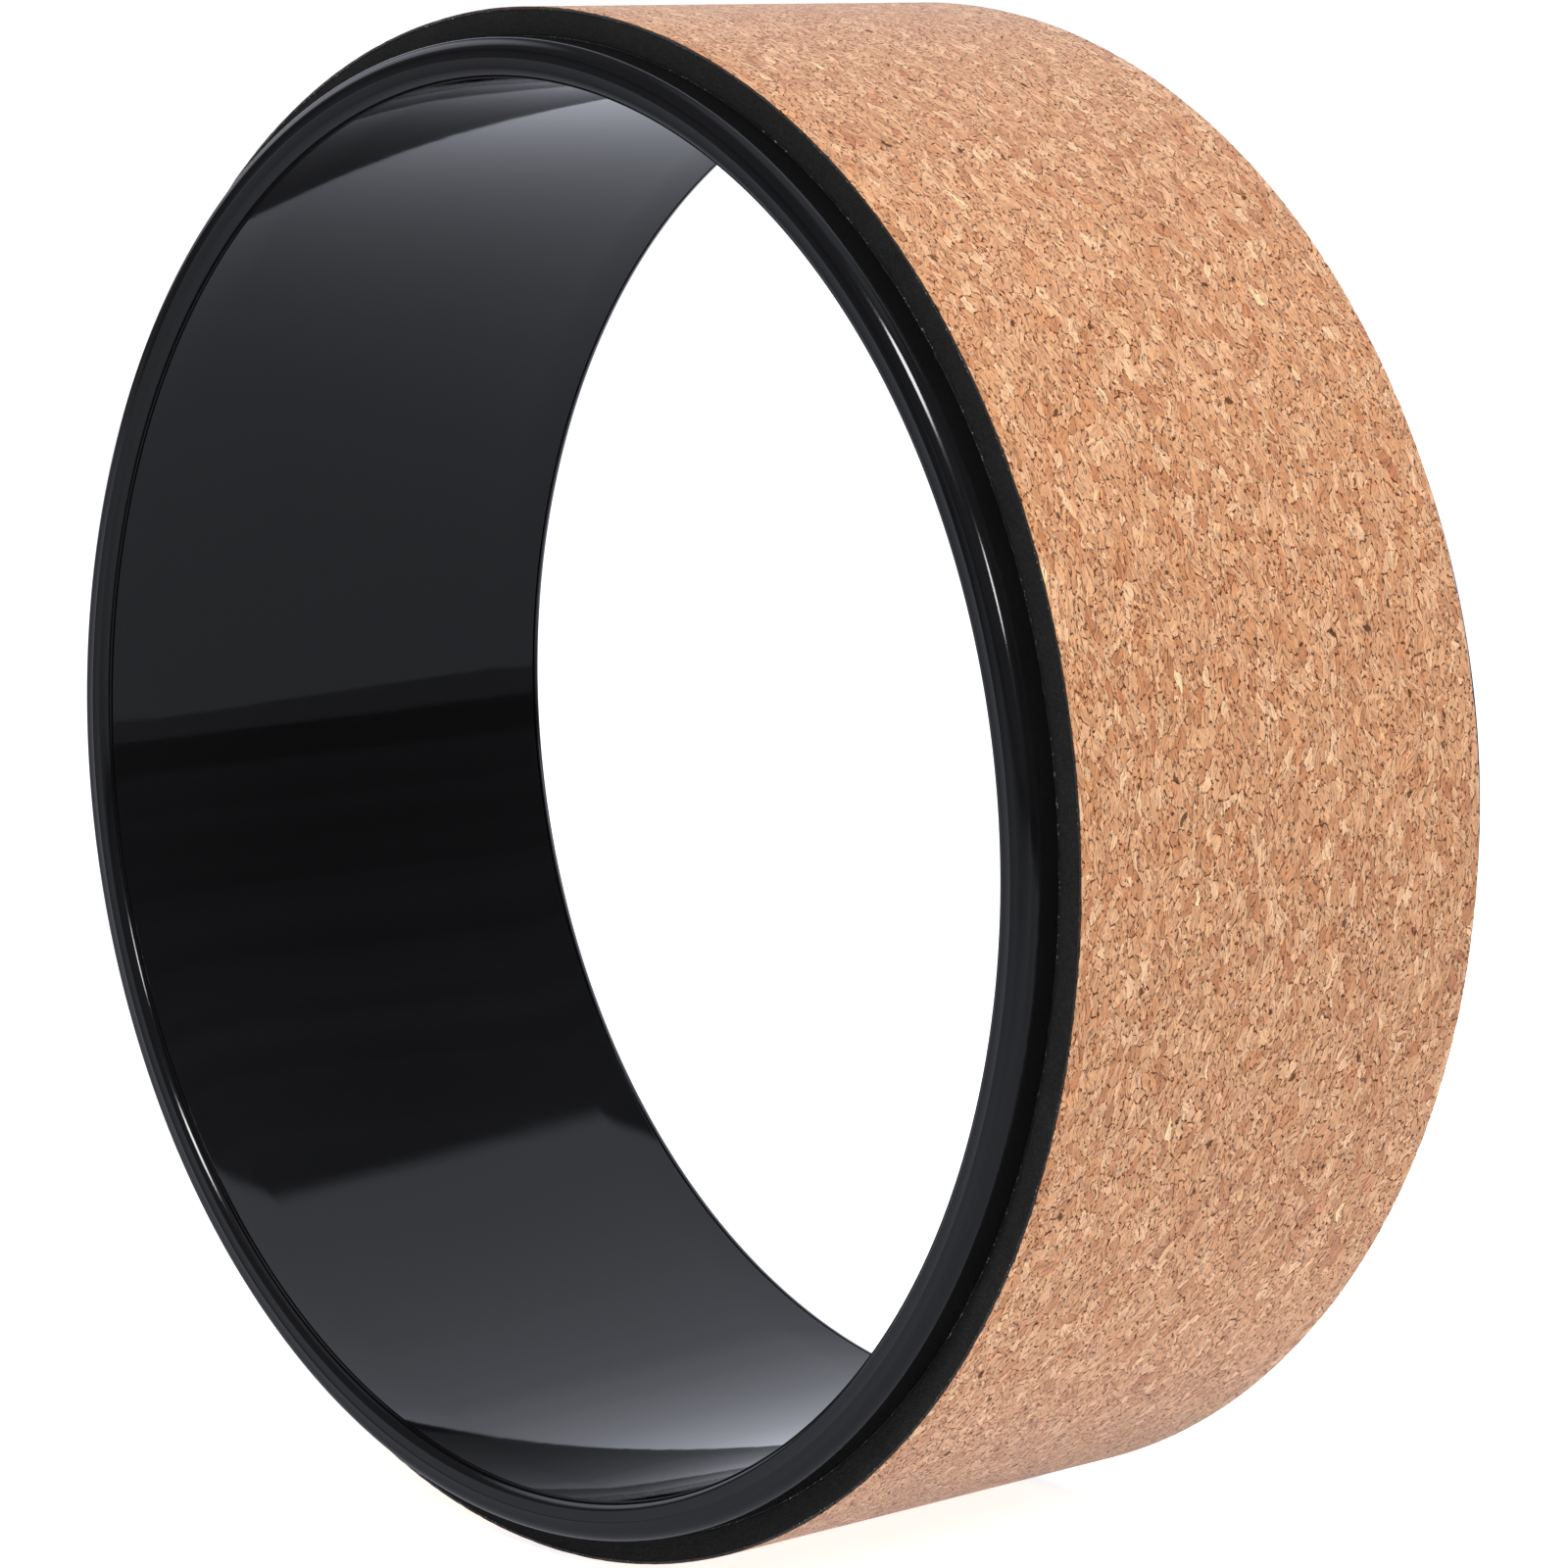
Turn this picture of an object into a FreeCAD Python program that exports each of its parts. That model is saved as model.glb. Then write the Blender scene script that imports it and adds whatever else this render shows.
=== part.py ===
"""Yoga wheel: a rigid tube with rounded end caps, wrapped in a foam strip and a cork sheet.

The wheel's centre is the origin and its axis is Y, with the front end at -Y. It stands on its tread, +Z up.
Angles round the wheel start at +X and grow towards +Z. All lengths are in millimetres.
"""

import FreeCAD, Part
import math
import os

# Core tube
OVERALL_WIDTH = 130.0
BORE_DIAMETER = 301.0
TUBE_WALL = 8.5

# End caps
CAP_HEAD_HEIGHT = 2.6
CAP_SKIRT_LENGTH = 10.0
CAP_SKIRT_WALL = 2.5
CAP_OUTER_ROUNDING = 2.6
CAP_FLAT_WIDTH = 3.6
CAP_GLUE_THICKNESS = 0.15
CAP_SKIRT_END_CLEARANCE = 0.2
JOINT_BEVEL = 0.35

# Foam strip and cork sheet
BARE_EDGE_WIDTH = 8.7
FOAM_TAPE_THICKNESS = 0.15
FOAM_THICKNESS = 5.3
CORK_GLUE_THICKNESS = 0.15
CORK_THICKNESS = 0.6
SEAM_GAP = 0.4
SEAM_ANGLE = 200.0

# Radii and places that follow from the sizes above
CENTRE = FreeCAD.Vector(0, 0, 0)
FRONT = FreeCAD.Vector(0, -1, 0)
FULL_TURN = 360.0

BORE_RADIUS = BORE_DIAMETER / 2
TUBE_RADIUS = BORE_RADIUS + TUBE_WALL
SKIRT_INNER_RADIUS = TUBE_RADIUS - CAP_SKIRT_WALL
SPIGOT_RADIUS = SKIRT_INNER_RADIUS - CAP_GLUE_THICKNESS
FOAM_INNER_RADIUS = TUBE_RADIUS + FOAM_TAPE_THICKNESS
FOAM_OUTER_RADIUS = FOAM_INNER_RADIUS + FOAM_THICKNESS
CORK_INNER_RADIUS = FOAM_OUTER_RADIUS + CORK_GLUE_THICKNESS
CORK_OUTER_RADIUS = CORK_INNER_RADIUS + CORK_THICKNESS

CAP_FACE = OVERALL_WIDTH / 2
TUBE_END = CAP_FACE - CAP_HEAD_HEIGHT
SKIRT_END = TUBE_END - CAP_SKIRT_LENGTH
SPIGOT_START = SKIRT_END - CAP_SKIRT_END_CLEARANCE
PAD_END = CAP_FACE - BARE_EDGE_WIDTH


def at(radius, axial):
    """Return the point of a cross-section at a radius and a place along the axis."""
    return FreeCAD.Vector(radius, axial, 0)


def chain(points):
    """Return the straight edges that join a list of points in order."""
    return [Part.LineSegment(a, b).toShape() for a, b in zip(points, points[1:])]


def turned(edges, gap_angle=0.0):
    """Return the solid that a closed outline makes when it is turned round the axis, from seam to seam."""
    section = Part.Face(Part.Wire(edges))
    section.rotate(CENTRE, FRONT, SEAM_ANGLE + gap_angle / 2)
    return section.revolve(CENTRE, FRONT, FULL_TURN - gap_angle)


def rectangle(inner_radius, outer_radius, low, high):
    """Return the outline of a plain rectangular cross-section."""
    corners = [at(inner_radius, low), at(outer_radius, low), at(outer_radius, high), at(inner_radius, high)]
    return chain(corners + corners[:1])


def strip(inner_radius, outer_radius):
    """Return one layer of the strip that is wrapped round the tube, with its ends butted at the seam."""
    gap_angle = math.degrees(SEAM_GAP / CORK_OUTER_RADIUS)
    return turned(rectangle(inner_radius, outer_radius, -PAD_END, PAD_END), gap_angle)


def core_tube():
    """Return the tube, with a spigot at each end for a cap and a bevel on each inside edge."""
    half = [
        at(TUBE_RADIUS, SPIGOT_START),
        at(SPIGOT_RADIUS, SPIGOT_START),
        at(SPIGOT_RADIUS, TUBE_END),
        at(BORE_RADIUS + JOINT_BEVEL, TUBE_END),
        at(BORE_RADIUS, TUBE_END - JOINT_BEVEL),
    ]
    other_half = [at(point.x, -point.y) for point in reversed(half)]
    return turned(chain(half + other_half + half[:1]))


def edge_cap():
    """Return the rear cap: a rounded head on the end of the tube and a skirt round its spigot."""
    lip = at(BORE_RADIUS, TUBE_END + JOINT_BEVEL)
    flat_outer = at(TUBE_RADIUS - CAP_OUTER_ROUNDING, CAP_FACE)
    flat_inner = at(flat_outer.x - CAP_FLAT_WIDTH, CAP_FACE)
    corner_end = at(TUBE_RADIUS, CAP_FACE - CAP_OUTER_ROUNDING)

    # The inner rounding runs from the lip and meets the flat ring without a corner.
    reach = flat_inner.x - lip.x
    rise = flat_inner.y - lip.y
    inner_rounding = (reach ** 2 + rise ** 2) / (2 * rise)
    half_turn = math.atan2(rise, reach)
    inner_middle = at(
        flat_inner.x - inner_rounding * math.sin(half_turn),
        flat_inner.y - inner_rounding * (1 - math.cos(half_turn)),
    )
    corner_inset = CAP_OUTER_ROUNDING * (1 - math.sqrt(0.5))
    corner_middle = at(TUBE_RADIUS - corner_inset, CAP_FACE - corner_inset)

    edges = [Part.Arc(lip, inner_middle, flat_inner).toShape()]
    edges += chain([flat_inner, flat_outer])
    edges += [Part.Arc(flat_outer, corner_middle, corner_end).toShape()]
    edges += chain([
        corner_end,
        at(TUBE_RADIUS, SKIRT_END),
        at(SKIRT_INNER_RADIUS, SKIRT_END),
        at(SKIRT_INNER_RADIUS, TUBE_END),
        at(BORE_RADIUS + JOINT_BEVEL, TUBE_END),
        lip,
    ])
    return turned(edges)


def cap_glue():
    """Return the rear glue film, between the cap's skirt and the tube's spigot."""
    return turned(rectangle(SPIGOT_RADIUS, SKIRT_INNER_RADIUS, SKIRT_END, TUBE_END))


def at_front(rear_piece):
    """Return the front copy of a piece made for the rear end."""
    return rear_piece.mirror(CENTRE, FRONT)


def build():
    """Return every piece by name."""
    rear_cap = edge_cap()
    rear_glue = cap_glue()
    return {
        "core_tube": core_tube(),
        "front_edge_cap": at_front(rear_cap),
        "rear_edge_cap": rear_cap,
        "front_cap_glue": at_front(rear_glue),
        "rear_cap_glue": rear_glue,
        "foam_tape": strip(TUBE_RADIUS, FOAM_INNER_RADIUS),
        "foam_pad": strip(FOAM_INNER_RADIUS, FOAM_OUTER_RADIUS),
        "cork_glue_film": strip(FOAM_OUTER_RADIUS, CORK_INNER_RADIUS),
        "cork_cover": strip(CORK_INNER_RADIUS, CORK_OUTER_RADIUS),
    }


def main():
    """Write each piece to a file of its own."""
    os.makedirs("parts", exist_ok=True)
    for name, piece in build().items():
        piece.exportStep(os.path.join("parts", name + ".step"))
        print(name, "valid" if piece.isValid() else "not valid", round(piece.Volume), "mm3")


main()
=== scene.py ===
"""Yoga wheel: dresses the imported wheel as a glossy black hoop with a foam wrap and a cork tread.

The wheel's axis is Y, its near end is at -Y, and it stands on its tread with +Z up. Lengths are in metres.
Angles round the wheel start at +X and grow towards +Z.
"""

import logging
import math
from dataclasses import dataclass, field
from enum import Enum

import bmesh
import bpy
from mathutils import Color, Matrix, Quaternion, Vector, noise


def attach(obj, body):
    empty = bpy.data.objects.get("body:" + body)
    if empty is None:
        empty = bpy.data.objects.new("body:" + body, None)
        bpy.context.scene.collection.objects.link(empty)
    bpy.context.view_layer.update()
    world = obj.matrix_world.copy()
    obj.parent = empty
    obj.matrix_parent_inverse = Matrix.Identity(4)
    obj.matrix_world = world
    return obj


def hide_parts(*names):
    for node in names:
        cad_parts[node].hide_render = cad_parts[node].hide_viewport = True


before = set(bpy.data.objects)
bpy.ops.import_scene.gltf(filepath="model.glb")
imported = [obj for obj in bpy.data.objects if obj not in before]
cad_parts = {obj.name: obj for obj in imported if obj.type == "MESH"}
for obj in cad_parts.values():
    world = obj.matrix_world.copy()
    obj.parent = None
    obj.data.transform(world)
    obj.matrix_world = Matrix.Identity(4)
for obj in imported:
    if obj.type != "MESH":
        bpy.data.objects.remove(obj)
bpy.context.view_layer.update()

logging.basicConfig(level=logging.INFO, format="%(name)s: %(message)s")
log = logging.getLogger("yoga_wheel")

FULL_TURN = 2.0 * math.pi
AXIS = Vector((0.0, -1.0, 0.0))
CENTRE = Vector((0.0, 0.0, 0.0))
RADIAL = Vector((1.0, 0.0, 0.0))
WHITE = (1.0, 1.0, 1.0, 1.0)
MIRRORED_TINT = (0.935, 0.97, 1.10, 1.0)
FULL_TONE = 255.0
SHARP_ANGLE = math.radians(32.0)
MERGE_DISTANCE = 1e-6
SECTOR_STEPS = 45
GROOVE_DEPTH = 0.0013
GROOVE_HALF_WIDTH = 0.00026

Colour = tuple[float, float, float, float]
Size = tuple[float, float, float]
Direction = tuple[float, float, float]
Socket = bpy.types.NodeSocket
Outputs = bpy.types.bpy_prop_collection
Feed = Socket | float | tuple[float, ...]


class End(Enum):
    """The two ends of the wheel, by the sign of their place along the axis."""

    FRONT = -1
    REAR = 1


class Place(Enum):
    """What a pattern is laid out on: the space round the wheel, or the flat sheet before it was wrapped."""

    SPACE = "Object"
    SHEET = "UV"


class Change(Enum):
    """How a number changes: easing in and out, or evenly."""

    SMOOTH = "SMOOTHSTEP"
    EVEN = "LINEAR"


@dataclass(frozen=True)
class Grade:
    """A change of one number from a start to an end, while another goes from low to high."""

    low: float
    high: float
    start: float = 0.0
    end: float = 1.0
    change: Change = Change.SMOOTH


def tone(red: int, green: int, blue: int) -> Colour:
    """Return a linear colour for a tone given from 0 to 255 as a screen shows it.

    Args:
        red: Red part of the tone.
        green: Green part of the tone.
        blue: Blue part of the tone.

    Returns:
        The colour as linear red, green, blue and a full alpha.
    """
    shown = Color((red / FULL_TONE, green / FULL_TONE, blue / FULL_TONE))
    return (*shown.from_srgb_to_scene_linear(), 1.0)


def placed(name: str, data: bpy.types.ID) -> bpy.types.Object:
    """Add an object to the scene.

    Args:
        name: The object's name.
        data: What it shows.

    Returns:
        The object.
    """
    made = bpy.data.objects.new(name, data)
    bpy.context.scene.collection.objects.link(made)
    return made


class NodeGraph:
    """Adds nodes to one shader tree and joins them."""

    def __init__(self, tree: bpy.types.NodeTree) -> None:
        """Start from an empty tree."""
        self.tree = tree
        tree.nodes.clear()

    def node(
        self, kind: str, feeds: dict[int | str, Feed] | None = None, **settings: object,
    ) -> bpy.types.Node:
        """Add one node.

        Args:
            kind: Blender's name for the node type.
            feeds: Values or sockets for the node's inputs, by name or number.
            **settings: Properties to set on the node before its inputs are fed.

        Returns:
            The new node.
        """
        made = self.tree.nodes.new(kind)
        for key, value in settings.items():
            setattr(made, key, value)
        for socket, value in (feeds or {}).items():
            self.feed(made.inputs[socket], value)
        return made

    def feed(self, socket: Socket, value: Feed) -> None:
        """Join a socket to an input, or set the input to a fixed value.

        Args:
            socket: The input.
            value: The socket to join to it, or its value.
        """
        if isinstance(value, Socket):
            self.tree.links.new(value, socket)
        else:
            socket.default_value = value

    def place(self, place: Place) -> Socket:
        """Return the coordinates that a pattern is laid out on."""
        return self.node("ShaderNodeTexCoord").outputs[place.value]

    def scaled(self, place: Feed, size: Size) -> Socket:
        """Return coordinates in which one unit is the given size in metres along each axis."""
        scale = tuple(1.0 / part for part in size)
        return self.node("ShaderNodeMapping", {"Vector": place, "Scale": scale}).outputs[0]

    def vector(self, operation: str, first: Feed, second: Feed) -> Socket:
        """Return a vector worked out from two others."""
        return self.node("ShaderNodeVectorMath", {0: first, 1: second}, operation=operation).outputs["Vector"]

    def along(self, place: Feed, direction: Direction) -> Socket:
        """Return how far a point or direction reaches along another direction."""
        made = self.node("ShaderNodeVectorMath", {0: place, 1: direction}, operation="DOT_PRODUCT")
        return made.outputs["Value"]

    def math(self, operation: str, first: Feed, second: Feed = 0.0, third: Feed = 0.0) -> Socket:
        """Return a number worked out from up to three others."""
        return self.node("ShaderNodeMath", {0: first, 1: second, 2: third}, operation=operation).outputs[0]

    def product(self, first: Feed, second: Feed) -> Socket:
        """Return the product of two numbers."""
        return self.math("MULTIPLY", first, second)

    def highest(self, first: Feed, second: Feed) -> Socket:
        """Return the higher of two numbers."""
        return self.math("MAXIMUM", first, second)

    def graded(self, value: Feed, grade: Grade) -> Socket:
        """Return a number that changes by a grade.

        Args:
            value: The number that the change follows.
            grade: The change.

        Returns:
            The number socket.
        """
        feeds = {
            "Value": value,
            "From Min": grade.low,
            "From Max": grade.high,
            "To Min": grade.start,
            "To Max": grade.end,
        }
        return self.node("ShaderNodeMapRange", feeds, interpolation_type=grade.change.value).outputs[0]

    def noise(self, place: Feed, size: Size, detail: float = 2.0, roughness: float = 0.5) -> Outputs:
        """Return the number and the colour of a noise whose features have the given size in metres."""
        feeds = {"Vector": self.scaled(place, size), "Scale": 1.0, "Detail": detail, "Roughness": roughness}
        return self.node("ShaderNodeTexNoise", feeds).outputs

    def grains(self, place: Feed, feature: str = "F1", dimensions: str = "2D") -> Outputs:
        """Return the distance and the colour of grains on coordinates whose unit is the size of one."""
        feeds = {"Vector": place, "Scale": 1.0}
        settings = {"feature": feature, "voronoi_dimensions": dimensions}
        return self.node("ShaderNodeTexVoronoi", feeds, **settings).outputs

    def parts(self, colour: Feed) -> Outputs:
        """Return the red, green and blue parts of a colour as separate sockets."""
        return self.node("ShaderNodeSeparateColor", {0: colour}).outputs

    def axes(self, place: Feed) -> Outputs:
        """Return the parts of a point or direction as separate sockets."""
        return self.node("ShaderNodeSeparateXYZ", {0: place}).outputs

    def blend(self, share: Feed, first: Feed, second: Feed, kind: str = "MIX") -> Socket:
        """Return a mix of two colours."""
        feeds = {0: share, 6: first, 7: second}
        return self.node("ShaderNodeMix", feeds, data_type="RGBA", blend_type=kind).outputs[2]

    def between(self, share: Feed, first: Feed, second: Feed) -> Socket:
        """Return a mix of two numbers."""
        return self.node("ShaderNodeMix", {0: share, 2: first, 3: second}, data_type="FLOAT").outputs[0]

    def ramp(self, value: Feed, stops: tuple[tuple[float, Colour], ...]) -> Socket:
        """Return the colour of a ramp at a value from 0 to 1.

        Args:
            value: Where on the ramp to look.
            stops: Places and colours along the ramp, in order.

        Returns:
            The colour socket.
        """
        made = self.node("ShaderNodeValToRGB", {0: value})
        elements = made.color_ramp.elements
        while len(elements) < len(stops):
            elements.new(0.5)
        for element, (spot, colour) in zip(elements, stops):
            element.position = spot
            element.color = colour
        return made.outputs[0]

    def bump(self, height: Feed, depth: float, strength: float = 1.0) -> Socket:
        """Return a normal for a relief of the given depth in metres."""
        feeds = {"Height": height, "Distance": depth, "Strength": strength}
        return self.node("ShaderNodeBump", feeds).outputs[0]

    def surface(self, feeds: dict[int | str, Feed]) -> None:
        """Finish the tree with one principled surface."""
        shader = self.node("ShaderNodeBsdfPrincipled", feeds)
        self.node("ShaderNodeOutputMaterial", {"Surface": shader.outputs[0]})

    def seen(self) -> Socket:
        """Return 1 for what the camera sees straight or through glass, and 0 for the rest."""
        rays = self.node("ShaderNodeLightPath").outputs
        return self.highest(rays["Is Camera Ray"], rays["Is Transmission Ray"])

    def with_mirrored(self, plain: Socket, mirrored: Socket) -> Socket:
        """Return a shader that shows one thing in gloss and another elsewhere."""
        gloss = self.node("ShaderNodeLightPath").outputs["Is Glossy Ray"]
        return self.node("ShaderNodeMixShader", {0: gloss, 1: plain, 2: mirrored}).outputs[0]


@dataclass(frozen=True)
class Finish:
    """A material finish, made once and shared by the pieces that have it."""

    name: str

    def material(self) -> bpy.types.Material:
        """Make the finish, or find it if it was made before.

        Returns:
            The finish as a Blender material.
        """
        known = bpy.data.materials.get(self.name)
        if known is not None:
            return known
        made = bpy.data.materials.new(self.name)
        made.use_nodes = True
        self.dress(NodeGraph(made.node_tree))
        return made

    def dress(self, graph: NodeGraph) -> None:
        """Add this finish's nodes to an empty graph."""
        raise NotImplementedError


@dataclass(frozen=True)
class DrawnGloss(Finish):
    """Gloss black plastic of a drawn tube, with faint lines along the draw."""

    dark: Colour = (0.0034, 0.0034, 0.0037, 1.0)
    light: Colour = (0.0052, 0.0052, 0.0057, 1.0)
    line_size: Size = (0.0030, 0.30, 0.0030)
    peel_size: Size = (0.0060, 0.0120, 0.0060)
    haze_size: Size = (0.05, 0.05, 0.05)
    line_depth: float = 3.0e-6
    peel_depth: float = 6.0e-6
    roughness: Grade = Grade(0.3, 0.7, 0.030, 0.055)
    index: float = 1.5

    def dress(self, graph: NodeGraph) -> None:
        """Add this finish's nodes to an empty graph.

        Args:
            graph: The graph to add to.
        """
        space = graph.place(Place.SPACE)
        lines = graph.noise(space, self.line_size, detail=3.0)[0]
        peel = graph.noise(space, self.peel_size, detail=1.0)[0]
        haze = graph.noise(space, self.haze_size, detail=4.0)[0]
        relief = graph.math("MULTIPLY_ADD", peel, self.peel_depth / self.line_depth, lines)
        graph.surface({
            "Base Color": graph.blend(haze, self.dark, self.light),
            "Roughness": graph.graded(haze, self.roughness),
            "IOR": self.index,
            "Normal": graph.bump(relief, self.line_depth),
        })


@dataclass(frozen=True)
class MouldedGloss(Finish):
    """Gloss black plastic of a moulded ring, with faint rings left by the turned mould."""

    dark: Colour = (0.0026, 0.0026, 0.0028, 1.0)
    light: Colour = (0.0042, 0.0042, 0.0046, 1.0)
    ring_size: Size = (0.00035, 0.00035, 0.00035)
    haze_size: Size = (0.02, 0.02, 0.02)
    ring_depth: float = 1.5e-6
    roughness: Grade = Grade(0.3, 0.7, 0.09, 0.14)
    index: float = 1.5

    def dress(self, graph: NodeGraph) -> None:
        """Add this finish's nodes to an empty graph.

        Args:
            graph: The graph to add to.
        """
        space = graph.place(Place.SPACE)
        x, y, z = graph.axes(space)
        reach = graph.math("SQRT", graph.math("MULTIPLY_ADD", x, x, graph.product(z, z)))
        section = graph.node("ShaderNodeCombineXYZ", {0: reach, 1: y}).outputs[0]
        rings = graph.noise(section, self.ring_size)[0]
        haze = graph.noise(space, self.haze_size, detail=4.0)[0]
        graph.surface({
            "Base Color": graph.blend(haze, self.dark, self.light),
            "Roughness": graph.graded(haze, self.roughness),
            "IOR": self.index,
            "Normal": graph.bump(rings, self.ring_depth),
        })


@dataclass(frozen=True)
class CutFoam(Finish):
    """Matt black foam with fine open cells where it was cut, painted darker in the cells' hollows as shade.
    """

    dark: Colour = (0.0054, 0.0054, 0.0053, 1.0)
    light: Colour = (0.0175, 0.0175, 0.0172, 1.0)
    cell_size: Size = (0.00045, 0.00045, 0.00045)
    cloud_size: Size = (0.006, 0.006, 0.006)
    wall: Grade = Grade(0.15, 0.75)
    # Painted shade: the colour's share from the middle of a cell, where it is darkest, out to its wall
    painted_pore_shade: Grade = Grade(0.0, 1.0, 0.25, 0.55)
    roughness: float = 0.95
    specular: float = 0.25
    depth: float = 0.00012
    depth_strength: float = 0.7

    def dress(self, graph: NodeGraph) -> None:
        """Add this finish's nodes to an empty graph.

        Args:
            graph: The graph to add to.
        """
        space = graph.place(Place.SPACE)
        cells = graph.grains(graph.scaled(space, self.cell_size), dimensions="3D")
        tint = graph.parts(cells["Color"])[0]
        clouds = graph.noise(space, self.cloud_size, detail=4.0)[0]
        walls = graph.graded(cells["Distance"], self.wall)
        # Random tone, times painted shade that darkens the middle of each cell, where the relief sinks into a
        # pore
        shade = graph.product(graph.math("ADD", tint, clouds), graph.graded(walls, self.painted_pore_shade))
        graph.surface({
            "Base Color": graph.blend(shade, self.dark, self.light),
            "Roughness": self.roughness,
            "Specular IOR Level": self.specular,
            "Normal": graph.bump(walls, self.depth, self.depth_strength),
        })


@dataclass(frozen=True)
class StickyFilm(Finish):
    """Smoky adhesive film, with pale specks along its edge that are painted glints."""

    body: Colour = (0.012, 0.012, 0.012, 1.0)
    # Colour of the painted glints on the film's edge
    speck: Colour = (0.30, 0.30, 0.29, 1.0)
    grit_size: Size = (0.0006, 0.0006, 0.0006)
    run_size: Size = (0.012, 0.012, 0.012)
    glint_spots: Grade = Grade(0.56, 0.66)
    glint_runs: Grade = Grade(0.40, 0.62)
    roughness: Grade = Grade(0.3, 0.7, 0.35, 0.6)
    depth: float = 0.00005
    depth_strength: float = 0.6

    def dress(self, graph: NodeGraph) -> None:
        """Add this finish's nodes to an empty graph.

        Args:
            graph: The graph to add to.
        """
        space = graph.place(Place.SPACE)
        grit = graph.noise(space, self.grit_size, detail=3.0)[0]
        runs = graph.noise(space, self.run_size)[0]
        # The pale specks are a painted highlight: glints on the film's edge, put into the base colour
        painted_glints = graph.product(graph.graded(grit, self.glint_spots), graph.graded(runs, self.glint_runs))
        graph.surface({
            "Base Color": graph.blend(painted_glints, self.body, self.speck),
            "Roughness": graph.graded(grit, self.roughness),
            "Normal": graph.bump(grit, self.depth, self.depth_strength),
        })


@dataclass(frozen=True)
class PressedCork(Finish):
    """Cork board pressed from flakes and crumbs, laid out on the flat sheet, its grain along the strip."""

    # Sizes on the sheet, along and across the strip
    flake_size: Size = (0.0036, 0.0016, 1.0)
    crumb_size: Size = (0.0016, 0.00068, 1.0)
    fibre_size: Size = (0.0032, 0.00042, 1.0)
    blotch_size: Size = (0.0080, 0.0040, 1.0)
    scatter_size: Size = (0.0010, 0.0008, 1.0)
    grit_size: Size = (0.00055, 0.00030, 1.0)
    bark_size: Size = (0.0160, 0.0095, 1.0)
    lean_size: float = 0.014
    lean_reach: float = 0.0080
    crinkle_size: float = 0.0014
    crinkle_reach: float = 0.0010
    fibre_turn: float = 1.5
    half_width: float = 0.0563
    cut_inside: float = 0.00008
    cut_outside: float = 0.00010

    # Colours
    tones: tuple[tuple[float, Colour], ...] = (
        (0.0, tone(173, 111, 66)),
        (0.22, tone(190, 133, 88)),
        (0.6, tone(201, 148, 105)),
        (0.88, tone(210, 161, 119)),
        (1.0, tone(222, 178, 137)),
    )
    cream: Colour = tone(234, 203, 154)
    blotch_tint: Colour = (0.92, 0.75, 0.58, 1.0)
    tick_colour: Colour = tone(84, 43, 20)
    pit_colour: Colour = tone(84, 48, 27)
    bark_colour: Colour = tone(68, 41, 26)
    cut_dark: Colour = tone(22, 19, 16)
    cut_light: Colour = tone(46, 38, 29)

    # How much of each mark there is
    whole_flakes: Grade = Grade(0.40, 0.42)
    cream_flakes: Grade = Grade(0.9980, 0.9985, 0.0, 0.9)
    fibre_shade: Grade = Grade(0.28, 0.72, 0.62, 1.32)
    blotches: Grade = Grade(0.48, 0.68, 0.0, 0.75)
    rim_core: float = 0.35
    flake_rim: float = 0.085
    flake_breaks: Grade = Grade(0.46, 0.56)
    crumb_rim: float = 0.17
    crumb_breaks: Grade = Grade(0.51, 0.61)
    cracks: Grade = Grade(0.315, 0.425, 1.0, 0.0)
    crack_breaks: Grade = Grade(0.40, 0.54)
    tick_share: float = 0.96
    pits: Grade = Grade(0.63, 0.72)
    pit_breaks: Grade = Grade(0.42, 0.58)
    pit_share: float = 0.8
    bark_reach: Grade = Grade(0.25, 1.0, 0.01, 0.08, Change.EVEN)
    bark_edge: Grade = Grade(-0.03, 0.0, 1.0, 0.0)
    bark_share: float = 0.85

    # Relief and shine, with less shine in the hollows
    grain_height: float = 0.5
    depth: float = 0.00012
    depth_strength: float = 0.6
    roughness: Grade = Grade(0.3, 0.7, 0.58, 0.44)
    specular: Grade = Grade(0.0, 1.0, 0.5, 0.05)
    sheen: Grade = Grade(0.0, 1.0, 0.30, 0.0)
    sheen_roughness: float = 0.45

    def wandering(self, graph: NodeGraph, sheet: Feed, size: float, reach: float) -> Socket:
        """Return a shift of the pattern that wanders about.

        Args:
            graph: The graph to add to.
            sheet: Coordinates on the sheet.
            size: Size of the wandering in metres.
            reach: How far the pattern is shifted in metres.

        Returns:
            The vector socket.
        """
        drift = graph.noise(sheet, (size, size, 1.0))[1]
        middle = graph.vector("SUBTRACT", drift, (0.5, 0.5, 0.5))
        return graph.vector("MULTIPLY", middle, (reach, reach, 0.0))

    def rim(self, graph: NodeGraph, place: Feed, width: float, breaks: Feed) -> Socket:
        """Return how far a broken line runs along the rims of the grains, as a number from 0 to 1.

        Args:
            graph: The graph to add to.
            place: Coordinates whose unit is the size of a grain.
            width: Width of the line in the same unit.
            breaks: A number from 0 to 1 that thins the line out.

        Returns:
            The number socket.
        """
        gap = graph.grains(place, "DISTANCE_TO_EDGE")["Distance"]
        return graph.product(graph.graded(gap, Grade(width * self.rim_core, width, 1.0, 0.0)), breaks)

    def dress(self, graph: NodeGraph) -> None:
        """Add this finish's nodes to an empty graph.

        Args:
            graph: The graph to add to.
        """
        sheet = graph.place(Place.SHEET)
        lean = self.wandering(graph, sheet, self.lean_size, self.lean_reach)
        crinkle = self.wandering(graph, sheet, self.crinkle_size, self.crinkle_reach)
        bed = graph.vector("ADD", graph.vector("ADD", sheet, lean), crinkle)
        scatter = graph.noise(sheet, self.scatter_size)[0]

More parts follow.
